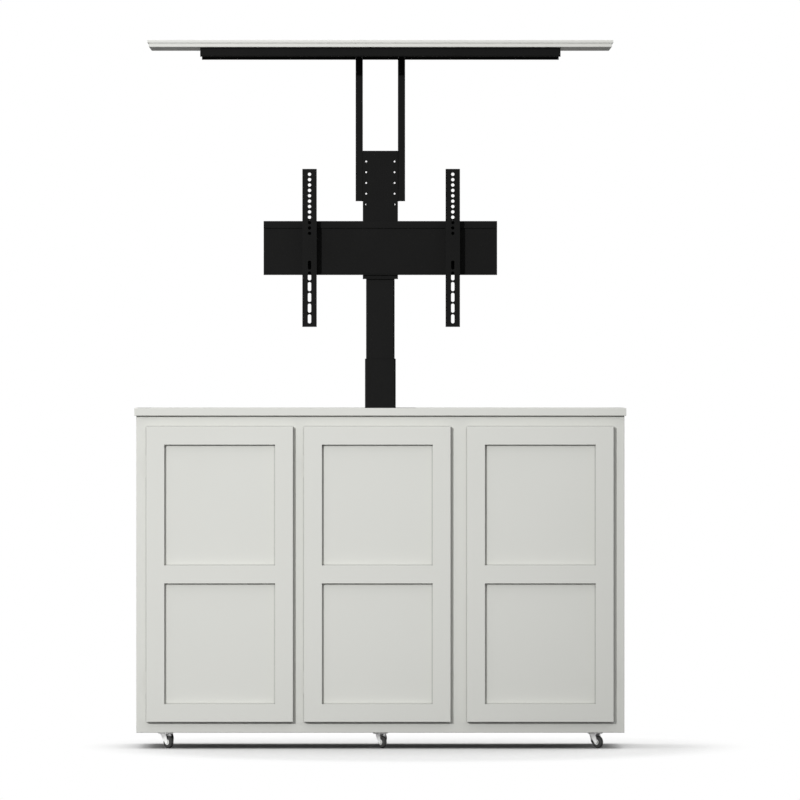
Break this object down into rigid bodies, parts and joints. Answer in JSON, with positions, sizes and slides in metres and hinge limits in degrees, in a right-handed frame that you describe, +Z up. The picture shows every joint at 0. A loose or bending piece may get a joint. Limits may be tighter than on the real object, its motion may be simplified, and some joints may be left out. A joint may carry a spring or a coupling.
{
  "type": "tv lift cabinet",
  "caption": "Painted TV lift cabinet on swivel casters, raised: panelled doors below, telescopic column with a slotted television mount, and a lid that rides up on top.",
  "frame": {"origin": "on the floor, under the middle of the object's bounding box", "axes": "+X to the viewer's right, -Y towards the doors, +Z up"},
  "size_m": [1.363, 0.4844, 1.9645],
  "materials": {
    "paint": "satin paint, pale warm grey",
    "black_steel": "satin black powder coat",
    "column_black": "smooth black coat on drawn tube",
    "black_plastic": "fine grained black",
    "caster_zinc": "bright zinc plate on pressed steel",
    "hinge_nickel": "nickel plate",
    "wheel_rubber": "matte black"
  },
  "bodies": {
    "cabinet": {"side_left": "paint", "side_right": "paint", "face_frame": "paint", "bottom_board": "paint", "back_board": "paint", "top_slab": "paint", "lift_base_plate": "black_steel", "lift_tube_fixed": "column_black", "lift_motor": "black_plastic", "lift_control_box": "black_plastic", "lift_stay": "black_steel", "hinge_left_lower_frame_leaf": "hinge_nickel", "hinge_left_upper_frame_leaf": "hinge_nickel", "hinge_middle_lower_frame_leaf": "hinge_nickel", "hinge_middle_upper_frame_leaf": "hinge_nickel", "hinge_right_lower_frame_leaf": "hinge_nickel", "hinge_right_upper_frame_leaf": "hinge_nickel", "caster_front_left_plate": "caster_zinc", "caster_front_middle_plate": "caster_zinc", "caster_front_right_plate": "caster_zinc", "caster_back_left_plate": "caster_zinc", "caster_back_middle_plate": "caster_zinc", "caster_back_right_plate": "caster_zinc"},
    "stage_1": {"lift_stage_1": "column_black"},
    "stage_2": {"lift_stage_2": "column_black"},
    "lift_head": {"lift_stage_3": "column_black", "head_bracket": "black_steel", "head_cap": "black_steel", "tv_plate": "black_steel", "lid_upright_left": "black_steel", "lid_upright_right": "black_steel", "lid_bar_front": "black_steel", "lid_bar_back": "black_steel", "lid": "paint"},
    "arm_left": {"tv_arm_left": "black_steel"},
    "arm_right": {"tv_arm_right": "black_steel"},
    "door_left": {"door_left_frame": "paint", "door_left_panel": "paint", "hinge_left_lower_door_leaf": "hinge_nickel", "hinge_left_upper_door_leaf": "hinge_nickel"},
    "door_middle": {"door_middle_frame": "paint", "door_middle_panel": "paint", "hinge_middle_lower_door_leaf": "hinge_nickel", "hinge_middle_upper_door_leaf": "hinge_nickel"},
    "door_right": {"door_right_frame": "paint", "door_right_panel": "paint", "hinge_right_lower_door_leaf": "hinge_nickel", "hinge_right_upper_door_leaf": "hinge_nickel"},
    "fork_front_left": {"caster_front_left_fork": "caster_zinc"},
    "wheel_front_left": {"caster_front_left_wheel": "wheel_rubber"},
    "fork_front_middle": {"caster_front_middle_fork": "caster_zinc"},
    "wheel_front_middle": {"caster_front_middle_wheel": "wheel_rubber"},
    "fork_front_right": {"caster_front_right_fork": "caster_zinc"},
    "wheel_front_right": {"caster_front_right_wheel": "wheel_rubber"},
    "fork_back_left": {"caster_back_left_fork": "caster_zinc"},
    "wheel_back_left": {"caster_back_left_wheel": "wheel_rubber"},
    "fork_back_middle": {"caster_back_middle_fork": "caster_zinc"},
    "wheel_back_middle": {"caster_back_middle_wheel": "wheel_rubber"},
    "fork_back_right": {"caster_back_right_fork": "caster_zinc"},
    "wheel_back_right": {"caster_back_right_wheel": "wheel_rubber"}
  },
  "joints": [
    {"name": "lift_lower", "type": "slide", "parent": "cabinet", "child": "stage_1", "axis": [0, 0, -1], "range_m": [0, 0.45345]},
    {"name": "lift_middle", "type": "slide", "parent": "stage_1", "child": "stage_2", "axis": [0, 0, -1], "range_m": [0, 0.4395]},
    {"name": "lift_upper", "type": "slide", "parent": "stage_2", "child": "lift_head", "axis": [0, 0, -1], "range_m": [0, 0.11855]},
    {"name": "arm_left_slide", "type": "slide", "parent": "lift_head", "child": "arm_left", "axis": [1, 0, 0], "range_m": [-0.1, 0.1]},
    {"name": "arm_right_slide", "type": "slide", "parent": "lift_head", "child": "arm_right", "axis": [1, 0, 0], "range_m": [-0.1, 0.1]},
    {"name": "door_left_hinge", "type": "hinge", "parent": "cabinet", "child": "door_left", "pos_m": [-0.6445, -0.22825, 0.48325], "axis": [0, 0, -1], "range_deg": [0, 95]},
    {"name": "door_middle_hinge", "type": "hinge", "parent": "cabinet", "child": "door_middle", "pos_m": [-0.20783, -0.22825, 0.48325], "axis": [0, 0, -1], "range_deg": [0, 95]},
    {"name": "door_right_hinge", "type": "hinge", "parent": "cabinet", "child": "door_right", "pos_m": [0.6425, -0.22825, 0.48325], "axis": [0, 0, 1], "range_deg": [0, 95]},
    {"name": "caster_front_left_swivel", "type": "hinge", "parent": "cabinet", "child": "fork_front_left", "pos_m": [-0.596, -0.16425, 0.04], "axis": [0, 0, 1], "continuous": true},
    {"name": "caster_front_left_roll", "type": "hinge", "parent": "fork_front_left", "child": "wheel_front_left", "pos_m": [-0.58797, -0.17317, 0.01675], "axis": [0.7431, 0.6691, 0], "continuous": true},
    {"name": "caster_front_middle_swivel", "type": "hinge", "parent": "cabinet", "child": "fork_front_middle", "pos_m": [0, -0.16425, 0.04], "axis": [0, 0, 1], "continuous": true},
    {"name": "caster_front_middle_roll", "type": "hinge", "parent": "fork_front_middle", "child": "wheel_front_middle", "pos_m": [0.00563, -0.17485, 0.01675], "axis": [0.8829, 0.4695, 0], "continuous": true},
    {"name": "caster_front_right_swivel", "type": "hinge", "parent": "cabinet", "child": "fork_front_right", "pos_m": [0.596, -0.16425, 0.04], "axis": [0, 0, 1], "continuous": true},
    {"name": "caster_front_right_roll", "type": "hinge", "parent": "fork_front_right", "child": "wheel_front_right", "pos_m": [0.60403, -0.17317, 0.01675], "axis": [0.7431, 0.6691, 0], "continuous": true},
    {"name": "caster_back_left_swivel", "type": "hinge", "parent": "cabinet", "child": "fork_back_left", "pos_m": [-0.596, 0.18425, 0.04], "axis": [0, 0, 1], "continuous": true},
    {"name": "caster_back_left_roll", "type": "hinge", "parent": "fork_back_left", "child": "wheel_back_left", "pos_m": [-0.59074, 0.17346, 0.01675], "axis": [0.8988, 0.4384, 0], "continuous": true},
    {"name": "caster_back_middle_swivel", "type": "hinge", "parent": "cabinet", "child": "fork_back_middle", "pos_m": [0, 0.18425, 0.04], "axis": [0, 0, 1], "continuous": true},
    {"name": "caster_back_middle_roll", "type": "hinge", "parent": "fork_back_middle", "child": "wheel_back_middle", "pos_m": [0.006, 0.17386, 0.01675], "axis": [0.866, 0.5, 0], "continuous": true},
    {"name": "caster_back_right_swivel", "type": "hinge", "parent": "cabinet", "child": "fork_back_right", "pos_m": [0.596, 0.18425, 0.04], "axis": [0, 0, 1], "continuous": true},
    {"name": "caster_back_right_roll", "type": "hinge", "parent": "fork_back_right", "child": "wheel_back_right", "pos_m": [0.60088, 0.17329, 0.01675], "axis": [0.9135, 0.4067, 0], "continuous": true}
  ],
  "couplings": [
    {"joint": "lift_middle", "follows": "lift_lower", "ratio": 0.96922},
    {"joint": "lift_upper", "follows": "lift_lower", "ratio": 0.26143}
  ]
}
